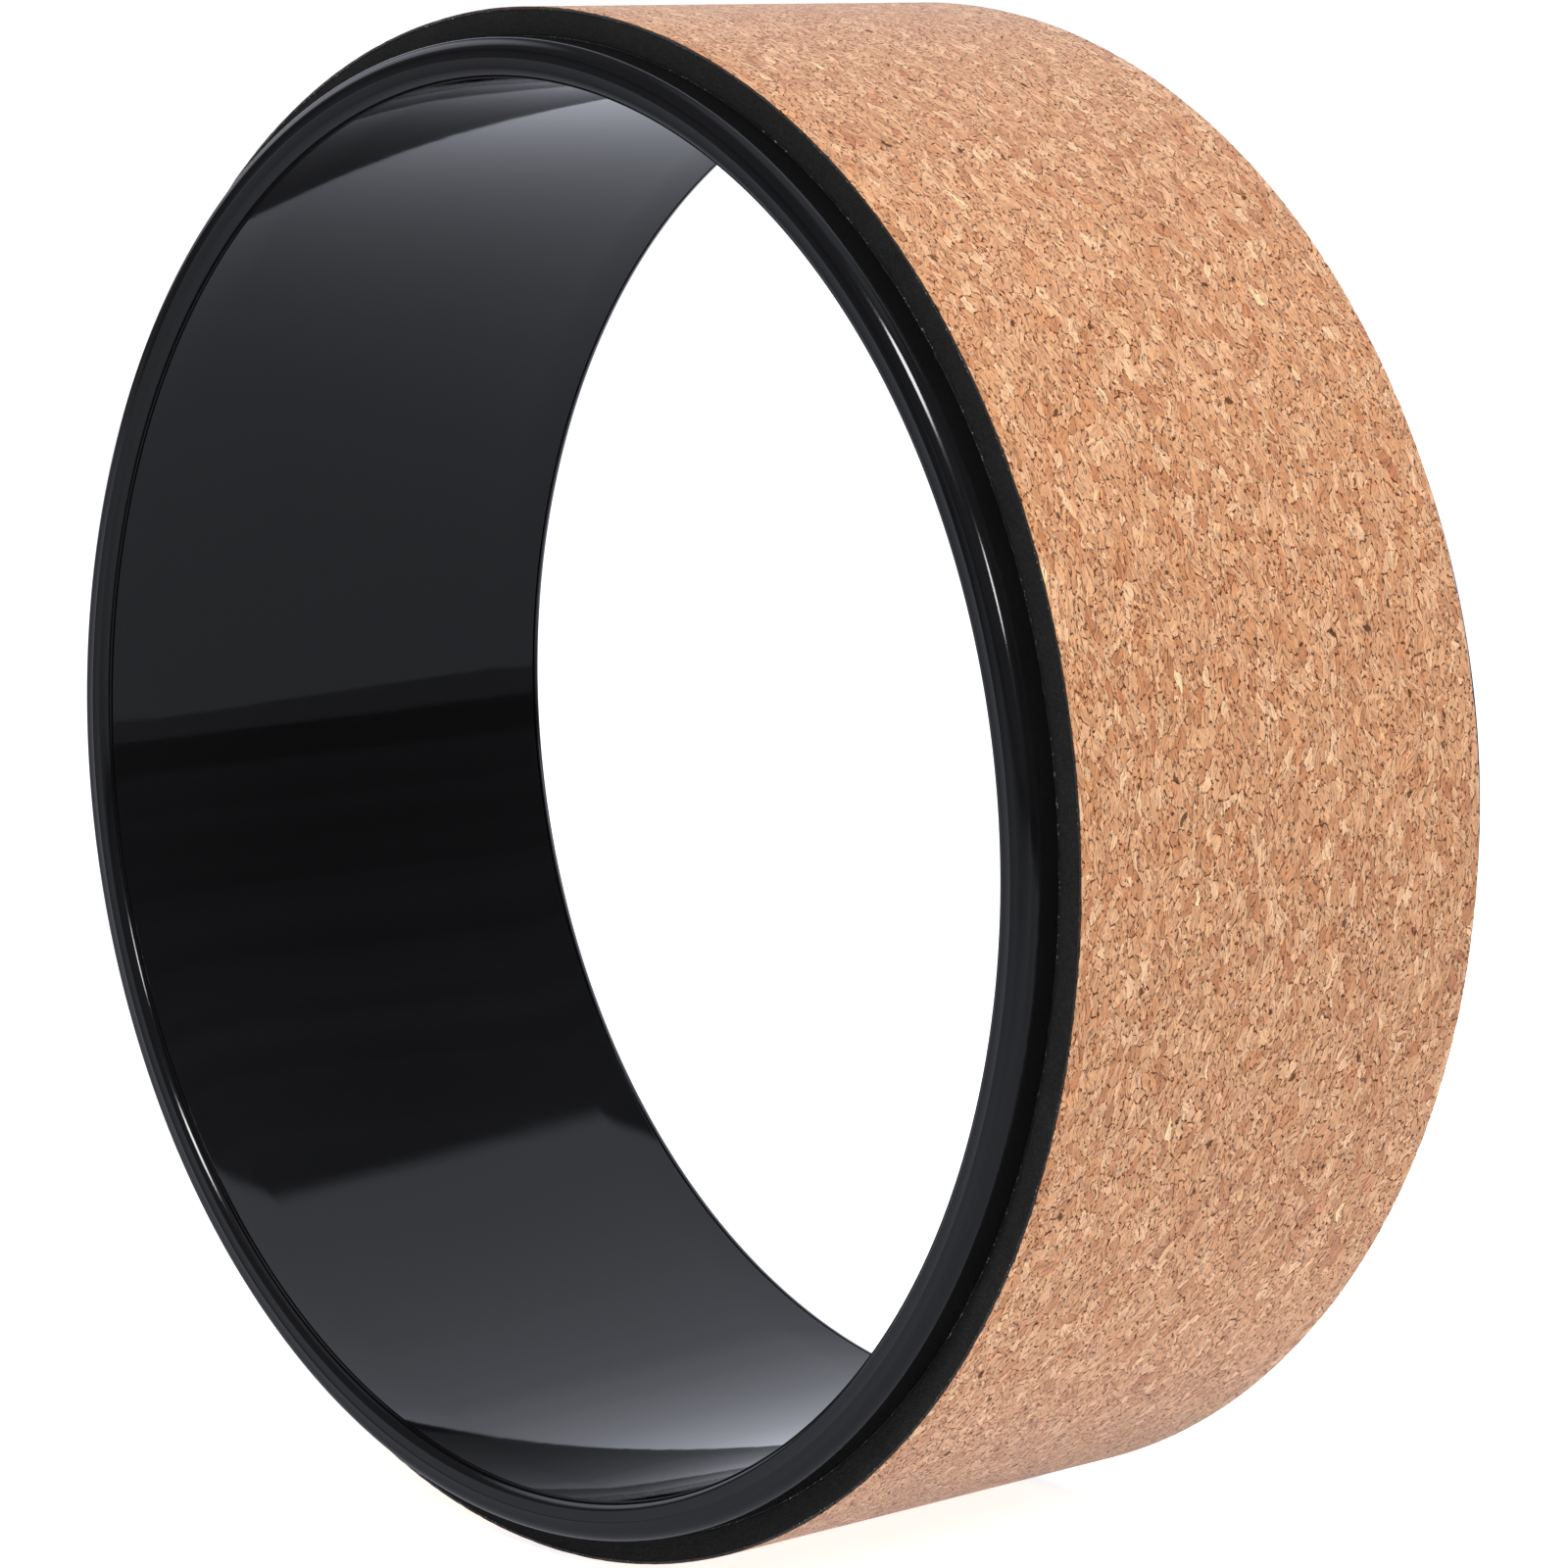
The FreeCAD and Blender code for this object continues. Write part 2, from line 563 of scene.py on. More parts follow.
        # Flakes, some of them broken into crumbs, each with fibres that lie its own way
        flake_place = graph.scaled(bed, self.flake_size)
        flake = graph.parts(graph.grains(flake_place)["Color"])
        crumb_place = graph.scaled(bed, self.crumb_size)
        crumb = graph.parts(graph.grains(crumb_place)["Color"])
        whole = graph.graded(flake[0], self.whole_flakes)
        value = graph.between(whole, crumb[1], flake[1])
        way = graph.between(whole, crumb[2], flake[2])
        turn = graph.math("MULTIPLY_ADD", way, self.fibre_turn, -self.fibre_turn / 2.0)
        feeds = {"Vector": bed, "Angle": turn}
        laid = graph.node("ShaderNodeVectorRotate", feeds, rotation_type="Z_AXIS").outputs[0]
        fibres = graph.noise(laid, self.fibre_size, detail=3.0, roughness=0.6)[0]
        colour = graph.ramp(value, self.tones)
        colour = graph.blend(graph.graded(flake[0], self.cream_flakes), colour, self.cream)
        colour = graph.blend(1.0, colour, graph.graded(fibres, self.fibre_shade), "MULTIPLY")
        blotch = graph.noise(bed, self.blotch_size, detail=3.0)[0]
        colour = graph.blend(graph.graded(blotch, self.blotches), colour, self.blotch_tint, "MULTIPLY")

        # Dark ticks along the rims of the grains and in cracks
        flake_rim = self.rim(graph, flake_place, self.flake_rim, graph.graded(scatter, self.flake_breaks))
        crumb_rim = self.rim(graph, crumb_place, self.crumb_rim, graph.graded(scatter, self.crumb_breaks))
        rims = graph.highest(flake_rim, graph.product(crumb_rim, graph.math("SUBTRACT", 1.0, whole)))
        crack = graph.product(graph.graded(fibres, self.cracks), graph.graded(scatter, self.crack_breaks))
        tick = graph.highest(rims, crack)
        colour = graph.blend(graph.product(tick, self.tick_share), colour, self.tick_colour)

        # Small pits and larger specks of bark
        grit = graph.noise(bed, self.grit_size, detail=1.0)[0]
        pit = graph.product(graph.graded(grit, self.pits), graph.graded(scatter, self.pit_breaks))
        colour = graph.blend(graph.product(pit, self.pit_share), colour, self.pit_colour)
        bark = graph.grains(graph.scaled(graph.vector("ADD", bed, crinkle), self.bark_size))
        reach = graph.graded(graph.parts(bark["Color"])[1], self.bark_reach)
        speck = graph.graded(graph.math("SUBTRACT", bark["Distance"], reach), self.bark_edge)
        colour = graph.blend(graph.product(speck, self.bark_share), colour, self.bark_colour)

        # The dark cut edge of the sheet
        across = graph.math("ABSOLUTE", graph.axes(sheet)[1])
        edge = Grade(self.half_width - self.cut_inside, self.half_width + self.cut_outside)
        edge_colour = graph.blend(fibres, self.cut_dark, self.cut_light)
        colour = graph.blend(graph.graded(across, edge), colour, edge_colour)

        hollows = graph.highest(graph.highest(tick, pit), speck)
        grain = graph.math("MULTIPLY_ADD", value, self.grain_height, fibres)
        graph.surface({
            "Base Color": colour,
            "Roughness": graph.graded(fibres, self.roughness),
            "Specular IOR Level": graph.graded(hollows, self.specular),
            "Sheen Weight": graph.graded(hollows, self.sheen),
            "Sheen Roughness": self.sheen_roughness,
            "Normal": graph.bump(graph.math("SUBTRACT", grain, hollows), self.depth, self.depth_strength),
        })


@dataclass(frozen=True)
class Corner:
    """One corner of a turned cross-section, with the length that its rounding takes from each side."""

    radius: float
    axial: float
    rounding: float = 0.0
    steps: int = 3

    def at_end(self, side: int) -> "Corner":
        """Return the same corner at the end of the wheel with the given sign."""
        return Corner(self.radius, self.axial * side, self.rounding, self.steps)


@dataclass(frozen=True)
class WheelSizes:
    """The wheel's main radii and places along the axis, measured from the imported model."""

    bore: float
    spigot: float
    skirt_inner: float
    tube: float
    tube_end: float
    spigot_start: float
    skirt_end: float
    flat_outer: float
    face: float
    foam_inner: float
    foam_outer: float
    cork_inner: float
    cork_outer: float
    pad_end: float

    @staticmethod
    def radii(node: str) -> list[float]:
        """Return the distance of each of a node's points from the axis."""
        return [math.hypot(vertex.co.x, vertex.co.z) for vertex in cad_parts[node].data.vertices]

    @staticmethod
    def axials(node: str) -> list[float]:
        """Return the distance of each of a node's points from the middle of the wheel, along the axis."""
        return [abs(vertex.co.y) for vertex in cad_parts[node].data.vertices]

    @classmethod
    def measured(cls) -> "WheelSizes":
        """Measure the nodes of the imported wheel.

        Returns:
            The sizes.
        """
        tube_radii = cls.radii("core_tube")
        tube_axials = cls.axials("core_tube")
        tube_outer = max(tube_radii)
        tube_end = max(tube_axials)
        end_radii = [r for r, y in zip(tube_radii, tube_axials) if tube_end - y < MERGE_DISTANCE]
        wall_axials = [y for r, y in zip(tube_radii, tube_axials) if tube_outer - r < MERGE_DISTANCE]
        cap_radii = cls.radii("rear_edge_cap")
        cap_axials = cls.axials("rear_edge_cap")
        face = max(cap_axials)
        flat_radii = [r for r, y in zip(cap_radii, cap_axials) if face - y < MERGE_DISTANCE]
        return cls(
            bore=min(tube_radii),
            spigot=max(end_radii),
            skirt_inner=max(cls.radii("rear_cap_glue")),
            tube=tube_outer,
            tube_end=tube_end,
            spigot_start=max(wall_axials),
            skirt_end=min(cap_axials),
            flat_outer=max(flat_radii),
            face=face,
            foam_inner=min(cls.radii("foam_pad")),
            foam_outer=max(cls.radii("foam_pad")),
            cork_inner=min(cls.radii("cork_cover")),
            cork_outer=max(cls.radii("cork_cover")),
            pad_end=max(cls.axials("cork_cover")),
        )


class Turning:
    """A shape turned round the wheel's axis from one cross-section."""

    def __init__(self, corners: list[Corner]) -> None:
        """Draw the cross-section and round its corners.

        Args:
            corners: The corners in order round the section.
        """
        self.shape = bmesh.new()
        spots = [self.shape.verts.new((corner.radius, corner.axial, 0.0)) for corner in corners]
        self.shape.faces.new(spots)
        for spot, corner in zip(spots, corners):
            if corner.rounding > 0.0:
                bmesh.ops.bevel(
                    self.shape, geom=[spot], offset=corner.rounding, offset_type="OFFSET",
                    affect="VERTICES", segments=corner.steps, profile=0.5, material=-1,
                )
        bmesh.ops.remove_doubles(self.shape, verts=self.shape.verts[:], dist=MERGE_DISTANCE)
        bmesh.ops.delete(self.shape, geom=self.shape.faces[:], context="FACES_ONLY")

    def divide(self, longest: float, along: Vector) -> None:
        """Cut the sides that run in one direction so that none is much longer than a given length.

        Args:
            longest: The longest side to keep.
            along: The direction, of length one.
        """
        for side in self.shape.edges[:]:
            reach = abs((side.verts[1].co - side.verts[0].co).dot(along))
            cuts = int(reach / longest)
            if cuts > 0:
                bmesh.ops.subdivide_edges(self.shape, edges=[side], cuts=cuts)

    def sweep(self, angle: float, steps: int) -> None:
        """Turn the section through an angle: first a short sector, then copies that double it each time.

        Args:
            angle: The whole angle.
            steps: Segments in it, a sector's steps times a power of two.
        """
        turned = angle * SECTOR_STEPS / steps
        section = self.shape.verts[:] + self.shape.edges[:]
        bmesh.ops.spin(self.shape, geom=section, cent=CENTRE, axis=AXIS, angle=turned, steps=SECTOR_STEPS)
        sectors = steps // SECTOR_STEPS
        while sectors > 1:
            geometry = self.shape.verts[:] + self.shape.edges[:] + self.shape.faces[:]
            copied = bmesh.ops.duplicate(self.shape, geom=geometry)["geom"]
            spots = [item for item in copied if isinstance(item, bmesh.types.BMVert)]
            bmesh.ops.rotate(self.shape, cent=CENTRE, matrix=Matrix.Rotation(turned, 3, AXIS), verts=spots)
            turned *= 2.0
            sectors //= 2
        bmesh.ops.remove_doubles(self.shape, verts=self.shape.verts[:], dist=MERGE_DISTANCE)

    def full(self, steps: int) -> None:
        """Turn the section through a whole circle."""
        self.sweep(FULL_TURN, steps)
        bmesh.ops.recalc_face_normals(self.shape, faces=self.shape.faces[:])

    def strip(self, steps: int, seam: float, gap: float) -> None:
        """Turn the section from one side of a seam round to the other, with both ends closed.

        Args:
            steps: Segments round the wheel.
            seam: Angle of the seam's middle.
            gap: Angle between the two ends.
        """
        start = Matrix.Rotation(seam + gap / 2.0, 3, AXIS)
        bmesh.ops.rotate(self.shape, cent=CENTRE, matrix=start, verts=self.shape.verts[:])
        self.sweep(FULL_TURN - gap, steps)
        open_sides = [side for side in self.shape.edges if side.is_boundary]
        bmesh.ops.holes_fill(self.shape, edges=open_sides, sides=0)
        bmesh.ops.recalc_face_normals(self.shape, faces=self.shape.faces[:])

    def settle(self, name: str, node: str, slot: str, finish: Finish) -> bpy.types.Object:
        """Make the shape a piece of the wheel that stands for a node of the model.

        Args:
            name: The piece's name.
            node: The node that it stands for.
            slot: The material slot for it; not used.
            finish: Its finish.

        Returns:
            The piece.
        """
        for side in self.shape.edges:
            side.smooth = side.calc_face_angle(0.0) < SHARP_ANGLE
        for face in self.shape.faces:
            face.smooth = True
        mesh = bpy.data.meshes.new(name)
        self.shape.to_mesh(mesh)
        self.shape.free()
        mesh.materials.append(finish.material())
        piece = placed(name, mesh)
        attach(piece, "root")
        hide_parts(node)
        log.info("%s: %d faces, stands for %s", name, len(mesh.polygons), node)
        return piece


def polar(spot: Vector) -> tuple[float, float]:
    """Return a point's distance from the axis and its angle round the wheel."""
    return math.hypot(spot.x, spot.z), math.atan2(spot.z, spot.x)


def set_radius(spot: Vector, radius: float) -> None:
    """Move a point in or out from the axis.

    Args:
        spot: The point.
        radius: Its new distance from the axis.
    """
    share = radius / math.hypot(spot.x, spot.z)
    spot.x *= share
    spot.z *= share


def waver(angle: float, wave: float, around: float, row: float) -> float:
    """Return a number from about -1 to 1 that wavers along a circle.

    Args:
        angle: Angle round the wheel.
        wave: Length of the waves along the circle.
        around: Radius of the circle.
        row: Picks one of many such lines.

    Returns:
        The number, the same at every run.
    """
    reach = around / wave
    return noise.noise(Vector((reach * math.cos(angle), reach * math.sin(angle), row)))


def uneven(spot: Vector, wave: float) -> float:
    """Return a number from about 0 to 1 that wavers from place to place."""
    return 0.5 + 0.5 * noise.noise(spot / wave)


@dataclass
class CoreTube:
    """The rigid tube that carries the load, gloss black inside, with a spigot at each end for a cap."""

    sizes: WheelSizes
    steps: int = 360
    edge_rounding: float = 0.00003
    belly: float = 0.00027
    belly_run: float = 0.006
    belly_share: float = 0.97
    belly_steps: int = 24
    finish: Finish = DrawnGloss("drawn_gloss_black")

    def outline(self) -> list[Corner]:
        """Draw the tube's cross-section, with the bore a little wider away from its ends.

        Returns:
            The corners in order.
        """
        sizes = self.sizes
        lip = sizes.tube_end - GROOVE_HALF_WIDTH
        half = [
            Corner(sizes.tube, sizes.spigot_start),
            Corner(sizes.spigot, sizes.spigot_start),
            Corner(sizes.spigot, sizes.tube_end),
            Corner(sizes.bore + GROOVE_DEPTH, sizes.tube_end),
            Corner(sizes.bore, lip, self.edge_rounding),
            Corner(
                sizes.bore + self.belly, lip - self.belly_run, self.belly_run * self.belly_share,
                self.belly_steps,
            ),
        ]
        return half + [corner.at_end(End.FRONT.value) for corner in reversed(half)]

    def build(self) -> None:
        """Make the tube."""
        turning = Turning(self.outline())
        turning.full(self.steps)
        turning.settle("tube", "core_tube", "gloss_black", self.finish)


@dataclass
class EdgeCap:
    """A moulded ring with rounded corners that closes one end of the tube, and the glue under its skirt."""

    sizes: WheelSizes
    end: End
    steps: int = 360
    rounding_steps: int = 16
    line_inset: float = 0.0019
    line_width: float = 0.0003
    line_height: float = 0.00006
    line_rounding: float = 0.00006
    lip_rounding: float = 0.00003
    inner_slant: float = math.radians(2.0)
    inner_share: float = 0.95
    finish: Finish = MouldedGloss("moulded_gloss_black")
    glue: Finish = StickyFilm("sticky_film")

    def outline(self) -> list[Corner]:
        """Draw the rear cap's cross-section, from the lip round the head to the skirt.

        Returns:
            The corners in order.
        """
        sizes = self.sizes
        lip = sizes.tube_end + GROOVE_HALF_WIDTH
        ring = sizes.face - self.line_height
        line = sizes.flat_outer - self.line_inset
        outer_rounding = sizes.tube - sizes.flat_outer
        shoulder = ring - (line - sizes.bore) * math.tan(self.inner_slant)
        return [
            Corner(sizes.bore, lip, self.lip_rounding),
            Corner(sizes.bore, shoulder, (shoulder - lip) * self.inner_share, self.rounding_steps),
            Corner(line, ring),
            Corner(line + self.line_width / 2.0, sizes.face, self.line_rounding),
            Corner(line + self.line_width, ring),
            Corner(sizes.tube, ring, outer_rounding, self.rounding_steps),
            Corner(sizes.tube, sizes.skirt_end),
            Corner(sizes.skirt_inner, sizes.skirt_end),
            Corner(sizes.skirt_inner, sizes.tube_end),
            Corner(sizes.bore + GROOVE_DEPTH, sizes.tube_end),
        ]

    def at_end(self, corners: list[Corner]) -> list[Corner]:
        """Return corners drawn for the rear end, moved to this cap's own end."""
        return [corner.at_end(self.end.value) for corner in corners]

    def build(self) -> None:
        """Make the cap and its glue film."""
        label = self.end.name.lower()
        sizes = self.sizes
        turning = Turning(self.at_end(self.outline()))
        turning.full(self.steps)
        turning.settle(f"{label}_cap", f"{label}_edge_cap", "cap_black", self.finish)
        film = Turning(self.at_end([
            Corner(sizes.spigot, sizes.skirt_end),
            Corner(sizes.skirt_inner, sizes.skirt_end),
            Corner(sizes.skirt_inner, sizes.tube_end),
            Corner(sizes.spigot, sizes.tube_end),
        ]))
        film.full(self.steps)
        film.settle(f"{label}_cap_film", f"{label}_cap_glue", "glue_film", self.glue)


@dataclass
class WrappedStrip:
    """One layer of the strip that is wrapped round the tube, with its ends butted at the seam."""

    sizes: WheelSizes
    seam: float = math.radians(200.0)
    seam_gap: float = 0.0004
    steps: int = 1440

    def section(
        self, inner: float, outer: float, inner_rounding: float = 0.0, outer_rounding: float = 0.0,
    ) -> Turning:
        """Draw the cross-section of one layer.

        Args:
            inner: Inner radius.
            outer: Outer radius.
            inner_rounding: Rounding of the edges at the inner radius.
            outer_rounding: Rounding of the edges at the outer radius.

        Returns:
            The cross-section, ready to be turned.
        """
        end = self.sizes.pad_end
        return Turning([
            Corner(inner, -end, inner_rounding),
            Corner(outer, -end, outer_rounding),
            Corner(outer, end, outer_rounding),
            Corner(inner, end, inner_rounding),
        ])

    def wrap(self, section: Turning) -> None:
        """Turn a layer's cross-section round the wheel from seam to seam."""
        section.strip(self.steps, self.seam, self.seam_gap / self.sizes.cork_outer)


@dataclass
class FoamWrap(WrappedStrip):
    """The foam strip, its soft ends pressed together, and the tape that holds it on the tube."""

    seam_gap: float = 0.00005
    edge_rounding: float = 0.00025
    roughness: float = 0.00010
    roughness_wave: float = 0.0016
    tape_overhang: float = 0.00040
    tape_wave: float = 0.0022
    tape_row: float = 7.0
    finish: Finish = CutFoam("cut_foam_black")
    tape: Finish = StickyFilm("sticky_film")

    def build(self) -> None:
        """Make the tape and the foam."""
        self.lay_tape()
        self.lay_foam()

    def lay_tape(self) -> None:
        """Make the tape, with its edges a little ragged."""
        sizes = self.sizes
        turning = self.section(sizes.tube, sizes.foam_inner)
        self.wrap(turning)
        for spot in turning.shape.verts:
            row = math.copysign(self.tape_row, spot.co.y)
            rag = max(0.0, waver(polar(spot.co)[1], self.tape_wave, sizes.tube, row))
            spot.co.y += math.copysign(rag * self.tape_overhang, spot.co.y)
        turning.settle("tape", "foam_tape", "glue_film", self.tape)

    def lay_foam(self) -> None:
        """Make the foam, with its cut ends a little uneven."""
        sizes = self.sizes
        rounding = self.edge_rounding
        turning = self.section(sizes.foam_inner, sizes.foam_outer, rounding, rounding)
        turning.divide(self.roughness_wave / 2.0, RADIAL)
        self.wrap(turning)
        for spot in turning.shape.verts:
            if sizes.pad_end - abs(spot.co.y) < rounding:
                dent = uneven(spot.co, self.roughness_wave) * self.roughness
                spot.co.y -= math.copysign(dent, spot.co.y)
        piece = turning.settle("foam", "foam_pad", "foam_black", self.finish)


@dataclass
class CorkTread(WrappedStrip):
    """The cork sheet that makes the tread and the glue film that holds it on the foam."""

    edge_rounding: float = 0.00018
    edge_reach: float = 0.00027
    nick_depth: float = 0.00030
    nick_wave: float = 0.0026
    nick_row: float = 3.0
    swell: float = 0.00010
    swell_wave: float = 0.012
    finish: Finish = PressedCork("pressed_cork")
    glue: Finish = StickyFilm("sticky_film")

    def build(self) -> None:
        """Make the glue film and the cork."""
        sizes = self.sizes
        film = self.section(sizes.foam_outer, sizes.cork_inner)
        self.wrap(film)
        film.settle("cork_glue", "cork_glue_film", "glue_film", self.glue)
        turning = self.section(sizes.cork_inner, sizes.cork_outer, outer_rounding=self.edge_rounding)
        turning.divide(self.swell_wave / 2.0, AXIS)
        self.wrap(turning)
        self.lay_flat(turning.shape)
        self.wear(turning.shape)
        turning.settle("cork", "cork_cover", "cork", self.finish)

    def lay_flat(self, shape: bmesh.types.BMesh) -> None:
        """Give each point of the cork its place on the flat sheet, in metres along and across the strip.

        Args:
            shape: The cork's shape.
        """
        layer = shape.loops.layers.uv.new("sheet")
        outer = self.sizes.cork_outer
        for face in shape.faces:
            for loop in face.loops:
                radius, angle = polar(loop.vert.co)
                along = ((angle - self.seam) % FULL_TURN) * outer
                across = loop.vert.co.y + math.copysign(outer - radius, loop.vert.co.y)
                loop[layer].uv = (along, across)

    def wear(self, shape: bmesh.types.BMesh) -> None:
        """Let the tread swell slightly and nick its cut edges, always inwards.

        Args:
            shape: The cork's shape.
        """
        sizes = self.sizes
        for spot in shape.verts:
            radius, angle = polar(spot.co)
            if sizes.cork_outer - radius > self.edge_reach:
                continue
            set_radius(spot.co, radius - uneven(spot.co, self.swell_wave) * self.swell)
            if sizes.pad_end - abs(spot.co.y) < self.edge_reach:
                row = math.copysign(self.nick_row, spot.co.y)
                nick = max(0.0, waver(angle, self.nick_wave, sizes.cork_outer, row))
                spot.co.y -= math.copysign(nick * self.nick_depth, spot.co.y)


@dataclass(frozen=True)
class SoftBox:
    """An oval studio lamp, placed by its direction from the wheel."""

    name: str
    towards: Direction
    width: float
    height: float
    power: float
    distance: float = 2.2
    turn: float = 0.0
    in_reflections: bool = True

    def hang(self) -> None:
        """Hang the lamp so that it points at the wheel."""
        lamp = bpy.data.lights.new(self.name, "AREA")
        lamp.shape = "ELLIPSE"
        lamp.size = self.width
        lamp.size_y = self.height
        lamp.energy = self.power
        holder = placed(self.name, lamp)
        direction = Vector(self.towards).normalized()
        holder.location = direction * self.distance
        facing = direction.to_track_quat("Z", "Y")
        holder.rotation_euler = (facing @ Quaternion((0.0, 0.0, 1.0), self.turn)).to_euler()
        holder.visible_camera = False
        holder.visible_glossy = self.in_reflections


@dataclass(frozen=True)
class PaleFloor(Finish):
    """Matt floor, white to the camera, that gloss shows as a lit sheet behind and a dim floor in front."""

    colour: Colour = (0.80, 0.80, 0.80, 1.0)
    white: float = 0.80
    glow: float = 0.62
    far: Direction = (-0.707, 0.707, 0.0)
    far_light: Grade = Grade(0.10, 0.58, 0.36, 1.12)
    sheet: Direction = (0.255, 0.967, 0.0)
    sheet_edge: Grade = Grade(0.84, 0.87, 1.0, 0.40)
    table: Direction = (0.667, 0.745, 0.0)
    table_edge: Grade = Grade(1.68, 1.86, 1.0, 0.12)
    nearest: float = 0.02
    near_light: Grade = Grade(-0.5, 0.9, 0.48, 0.04, Change.EVEN)
    left_light: Grade = Grade(0.9, 1.5, 1.0, 1.10)
    behind: Grade = Grade(-0.20, 0.08)

    def in_gloss(self, graph: NodeGraph) -> Socket:
        """Work out how bright each place on the floor is in gloss.

        Args:
            graph: The graph to add to.

        Returns:
            The number socket.
        """
        space = graph.place(Place.SPACE)
        sheet = graph.graded(graph.along(space, self.sheet), self.sheet_edge)
        table = graph.graded(graph.along(space, self.table), self.table_edge)
        far = graph.graded(graph.along(space, self.far), self.far_light)
        rear = graph.product(far, graph.product(sheet, table))
        x, y, _ = graph.axes(space)
        ahead = graph.highest(graph.product(y, -1.0), self.nearest)
        near = graph.graded(graph.math("LOGARITHM", ahead, 10.0), self.near_light)
        left = graph.graded(graph.math("DIVIDE", x, y), self.left_light)
        return graph.between(graph.graded(y, self.behind), graph.product(near, left), rear)

    def dress(self, graph: NodeGraph) -> None:
        """Add this finish's nodes to an empty graph.

        Args:
            graph: The graph to add to.
        """
        matt = graph.node("ShaderNodeBsdfDiffuse", {"Color": self.colour}).outputs[0]
        glow = graph.between(graph.seen(), self.glow, self.white)
        lift = graph.node("ShaderNodeEmission", {"Strength": glow}).outputs[0]
        plain = graph.node("ShaderNodeAddShader", {0: matt, 1: lift}).outputs[0]
        feeds = {"Color": MIRRORED_TINT, "Strength": self.in_gloss(graph)}
        mirrored = graph.node("ShaderNodeEmission", feeds).outputs[0]
        graph.node("ShaderNodeOutputMaterial", {"Surface": graph.with_mirrored(plain, mirrored)})


@dataclass(frozen=True)
class Room:
    """White surroundings with even light, that gloss shows as a lit sweep, a wall, a window and a ceiling."""

    ambient: float = 0.345
    sweep: Direction = (-0.748, 0.621, -0.235)
    sweep_edge: Grade = Grade(-0.01, 0.03)
    sweep_depth: Grade = Grade(0.30, 0.45)
    sweep_light: Grade = Grade(0.15, 0.64, 1.32, 0.58, Change.EVEN)
    board_pitch: float = 2.6
    board_light: float = 0.11
    wall_light: Grade = Grade(0.15, 0.72, -0.015, 0.05, Change.EVEN)
    front_light: Grade = Grade(0.0, 0.12, 0.06, 0.14)
    behind: Grade = Grade(-0.10, 0.50)
    window: Direction = (-0.902, -0.150, 0.405)
    window_light: Grade = Grade(0.92, 0.985, 0.0, 1.1)
    ceiling_light: Grade = Grade(0.85, 0.97, 0.0, 0.35)

    def in_gloss(self, graph: NodeGraph) -> Socket:
        """Work out how bright the room is in each direction in gloss.

        Args:
            graph: The graph to add to.

        Returns:
            The number socket.
        """
        direction = graph.node("ShaderNodeTexCoord").outputs["Generated"]
        _, depth, rise = graph.axes(direction)
        edge = graph.graded(graph.along(direction, self.sweep), self.sweep_edge)
        lit = graph.product(edge, graph.graded(depth, self.sweep_depth))
        sweep = graph.product(lit, graph.graded(rise, self.sweep_light))
        feeds = {"W": graph.product(rise, self.board_pitch)}
        boards = graph.node("ShaderNodeTexNoise", feeds, noise_dimensions="1D").outputs[0]
        wall = graph.math("MULTIPLY_ADD", boards, self.board_light, graph.graded(rise, self.wall_light))
        front = graph.graded(rise, self.front_light)
        room = graph.between(graph.graded(depth, self.behind), front, wall)
        window = graph.graded(graph.along(direction, self.window), self.window_light)
        ceiling = graph.graded(rise, self.ceiling_light)
        for light in (window, ceiling, sweep):
            room = graph.math("ADD", room, light)
        return room

    def build(self) -> None:
        """Put the room round the scene."""
        world = bpy.data.worlds.new("studio")
        bpy.context.scene.world = world
        world.use_nodes = True
        graph = NodeGraph(world.node_tree)
        feeds = {"Color": WHITE, "Strength": graph.between(graph.seen(), self.ambient, 1.0)}
        plain = graph.node("ShaderNodeBackground", feeds).outputs[0]
        feeds = {"Color": MIRRORED_TINT, "Strength": self.in_gloss(graph)}
        mirrored = graph.node("ShaderNodeBackground", feeds).outputs[0]
        graph.node("ShaderNodeOutputWorld", {"Surface": graph.with_mirrored(plain, mirrored)})


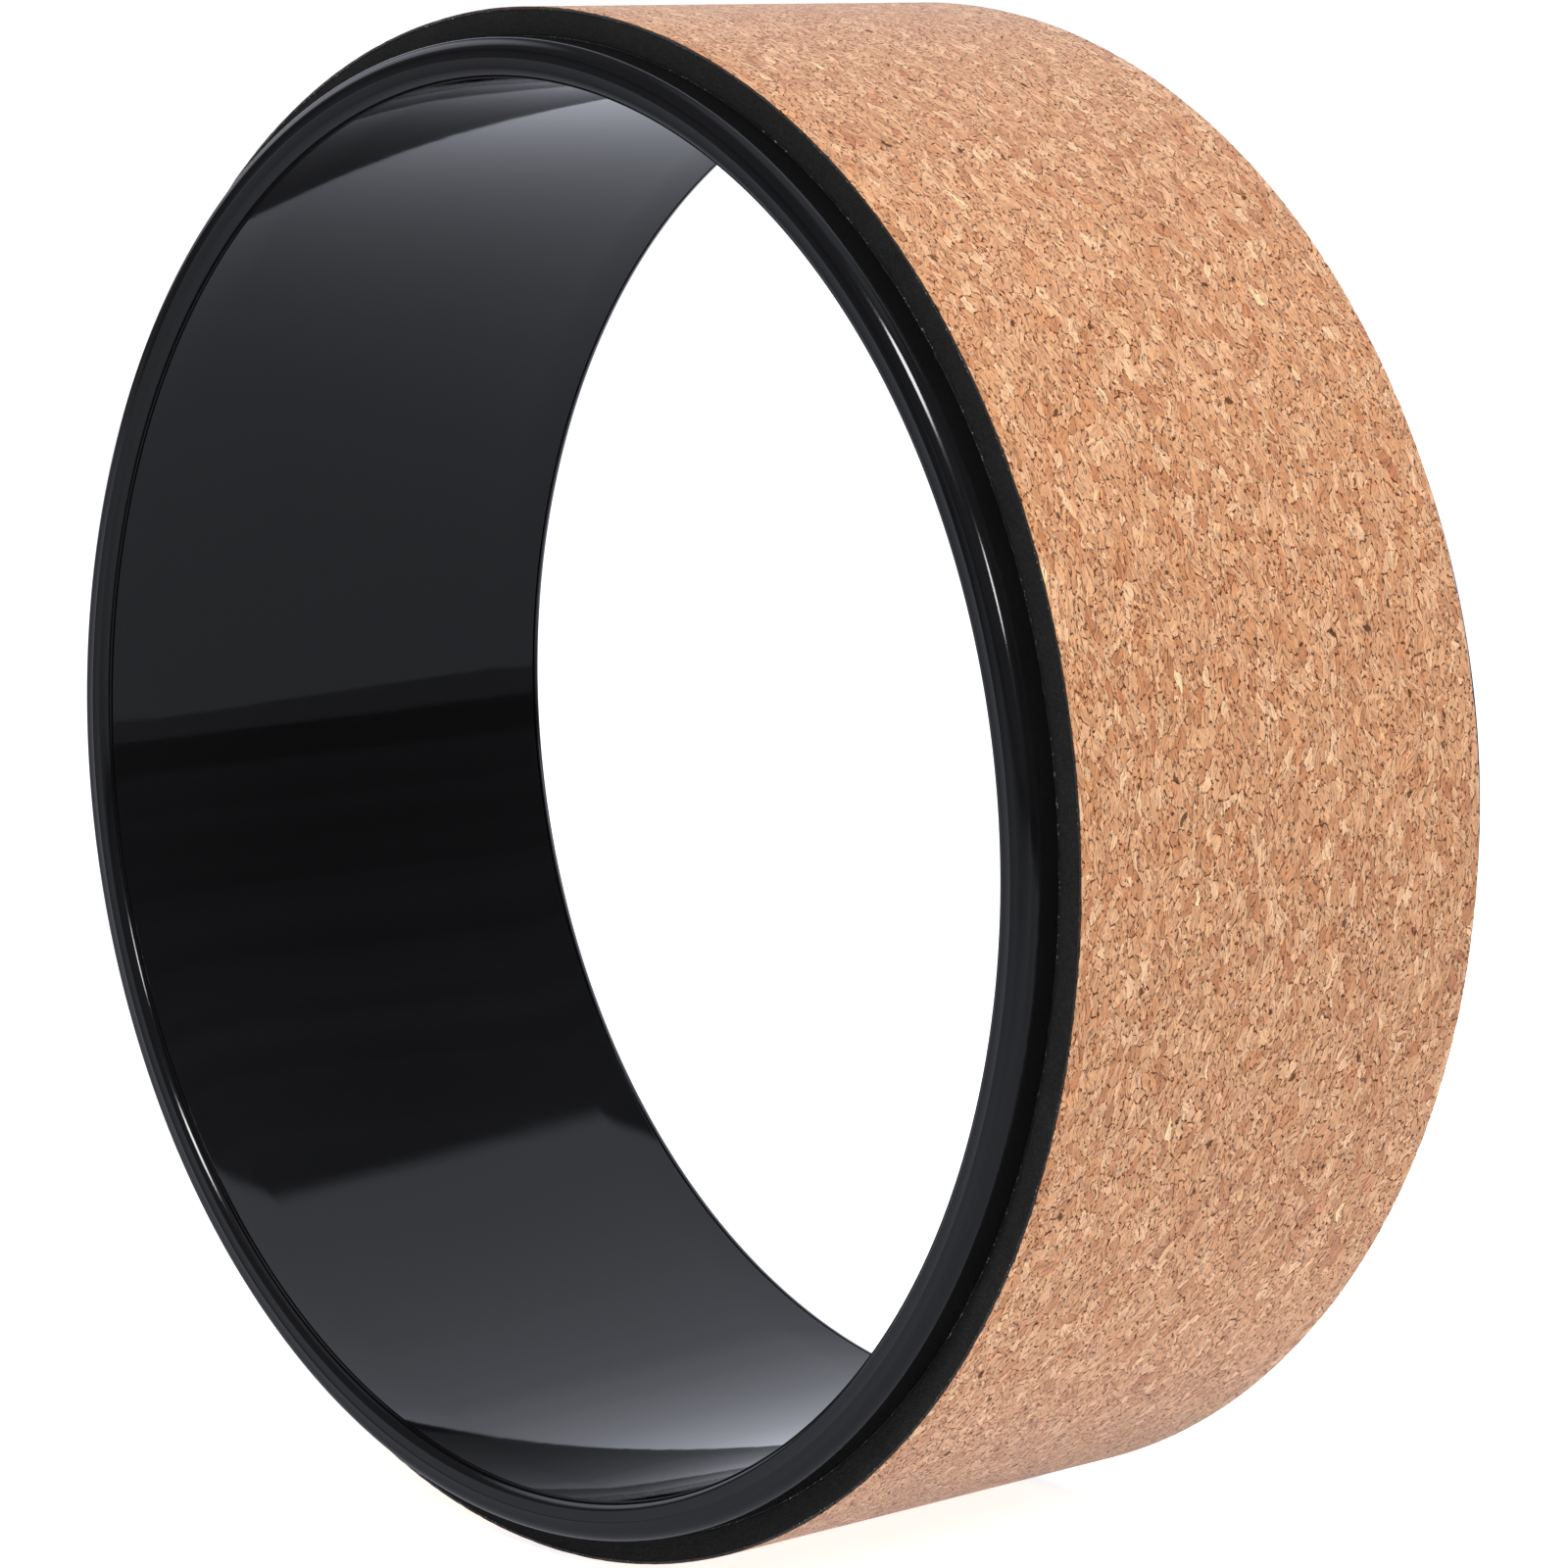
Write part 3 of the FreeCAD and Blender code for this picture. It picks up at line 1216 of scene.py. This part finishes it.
@dataclass
class Studio:
    """The pale floor, the room, the lamps and the camera."""

    floor_level: float
    floor_width: float = 60.0
    floor_finish: Finish = PaleFloor("pale_floor")
    room: Room = Room()
    azimuth: float = math.radians(48.87)
    elevation: float = math.radians(8.81)
    camera_distance: float = 1.1860
    camera_right: float = 0.00988
    camera_up: float = -0.00382
    focal_share: float = 5530.2 / 1600.0
    sensor: float = 36.0
    camera_range: float = 200.0
    lamps: list[SoftBox] = field(default_factory=lambda: [
        SoftBox("key_box", (0.276, -0.685, 0.673), 0.85, 0.45, 21.0, turn=math.radians(39.0)),
        SoftBox("side_box", (0.862, -0.155, 0.480), 0.42, 0.46, 11.4),
        SoftBox("top_box", (0.10, 0.10, 1.0), 1.6, 1.6, 29.0, in_reflections=False),
    ])

    def build(self) -> None:
        """Set up the floor, the room, the lamps and the camera."""
        self.lay_floor()
        self.room.build()
        for lamp in self.lamps:
            lamp.hang()
        self.aim_camera()
        bpy.context.scene.view_settings.view_transform = "Standard"

    def lay_floor(self) -> None:
        """Lay the floor."""
        shape = bmesh.new()
        bmesh.ops.create_grid(shape, x_segments=1, y_segments=1, size=self.floor_width / 2.0)
        bmesh.ops.translate(shape, vec=(0.0, 0.0, self.floor_level), verts=shape.verts[:])
        mesh = bpy.data.meshes.new("floor")
        shape.to_mesh(mesh)
        shape.free()
        mesh.materials.append(self.floor_finish.material())
        floor = placed("floor", mesh)

    def aim_camera(self) -> None:
        """Set up the camera at the viewing angle."""
        right = Vector((math.cos(self.azimuth), math.sin(self.azimuth), 0.0))
        level = Vector((right.y, -right.x, 0.0))
        back = level * math.cos(self.elevation) + Vector((0.0, 0.0, math.sin(self.elevation)))
        up = back.cross(right)
        lens = bpy.data.cameras.new("camera")
        lens.sensor_width = self.sensor
        lens.lens = self.focal_share * self.sensor
        lens.clip_end = self.camera_range
        camera = placed("camera", lens)
        camera.location = back * self.camera_distance + right * self.camera_right + up * self.camera_up
        camera.rotation_euler = (-back).to_track_quat("-Z", "Y").to_euler()
        bpy.context.scene.camera = camera


def main() -> None:
    """Build the wheel piece by piece, then the studio round it."""
    sizes = WheelSizes.measured()
    CoreTube(sizes).build()
    for end in End:
        EdgeCap(sizes, end).build()
    FoamWrap(sizes).build()
    CorkTread(sizes).build()
    Studio(floor_level=-sizes.cork_outer).build()


if __name__ == "__main__":
    main()
